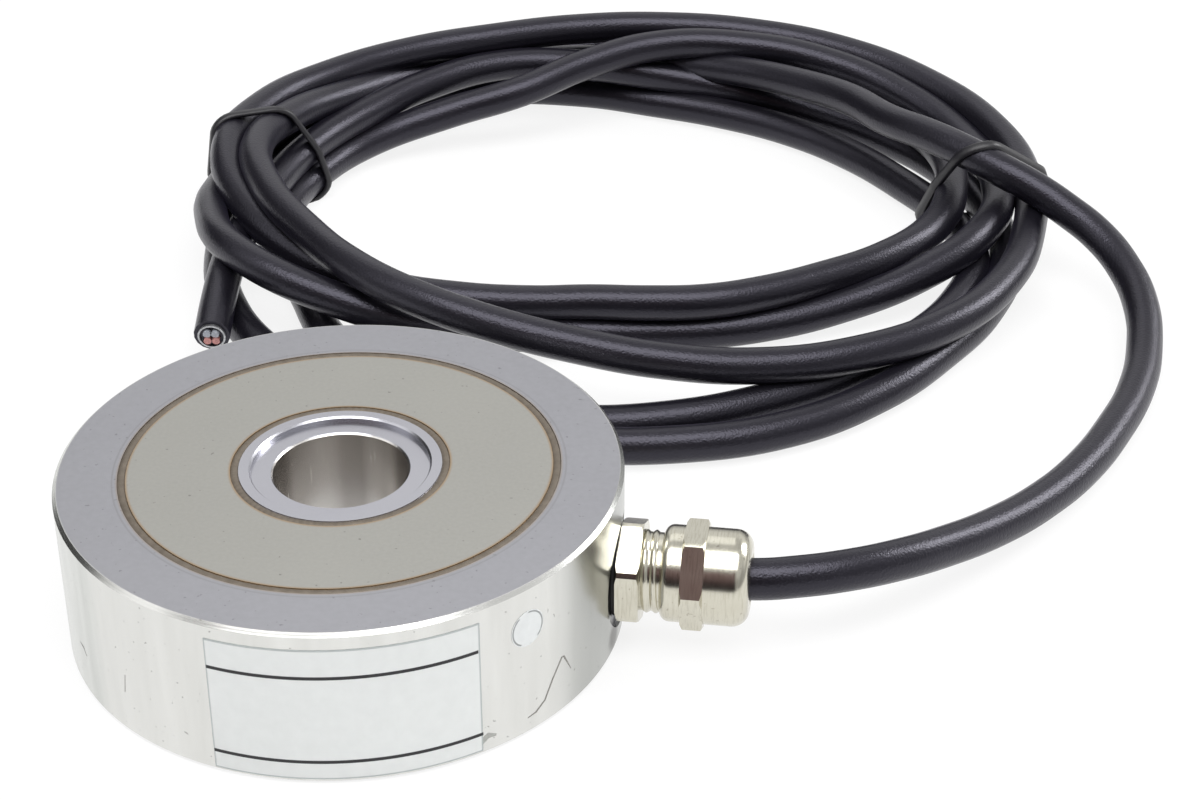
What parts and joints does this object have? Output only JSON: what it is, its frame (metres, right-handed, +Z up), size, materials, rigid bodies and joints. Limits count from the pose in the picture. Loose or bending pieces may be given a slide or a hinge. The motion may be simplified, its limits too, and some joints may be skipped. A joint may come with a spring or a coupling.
{
  "type": "ring torsion load cell",
  "caption": "Low stainless ring load cell with welded cover plates, a through bore with a recessed load seat, a side cable gland and its signal cable coiled beside it",
  "frame": {"origin": "On the bore's axis, in the plane of the ring's base", "axes": "+Z up along the bore towards the load seat; +X from the axis towards the cable gland; the cable coil lies towards +Y"},
  "size_m": [0.2003, 0.2618, 0.028],
  "materials": {
    "turned_steel": "stainless steel, finely turned on the flats and polished on the wall and the hub",
    "cover_steel": "rolled stainless sheet, warm grey, welded at both edges",
    "gauge_foil": "foil on an amber polyimide carrier",
    "board_green": "glass-filled circuit board, green solder mask",
    "pin_brass": "tinned brass",
    "chip_black": "black coated chip",
    "chip_tan": "tan ceramic chip",
    "magnet_wire": "enamelled copper",
    "core_red": "extruded insulation",
    "core_black": "extruded insulation",
    "core_green": "extruded insulation",
    "core_white": "extruded insulation",
    "nickel": "nickel-plated brass, bright, slightly warm",
    "insert_plastic": "moulded nylon",
    "seal_rubber": "moulded rubber",
    "jacket": "black extruded cable jacket, satin",
    "tie_plastic": "moulded nylon tie",
    "braid": "tinned braid, cut",
    "core_ends": "cut ends of the insulated cores"
  },
  "bodies": {
    "root": {"sensor_body": "turned_steel", "top_cover": "cover_steel", "bottom_cover": "cover_steel", "gauge_top_inner": "gauge_foil", "gauge_top_outer": "gauge_foil", "gauge_bottom_inner": "gauge_foil", "gauge_bottom_outer": "gauge_foil", "circuit_board": "board_green", "terminal_pins": "pin_brass", "trim_resistors": "chip_black", "span_resistors": "chip_tan", "top_gauge_leads": "magnet_wire", "bottom_gauge_leads": "magnet_wire", "core_wire_red": "core_red", "core_wire_black": "core_black", "core_wire_green": "core_green", "core_wire_white": "core_white", "gland_gasket": "seal_rubber", "gland_body": "nickel", "clamping_insert": "insert_plastic", "rubber_seal": "seal_rubber", "dome_nut": "nickel", "cable_lead": "jacket", "cable_coil": "jacket", "cable_tail": "jacket", "cut_shield": "braid", "cut_cores": "core_ends", "tie_right": "tie_plastic", "tie_left": "tie_plastic"}
  },
  "joints": []
}
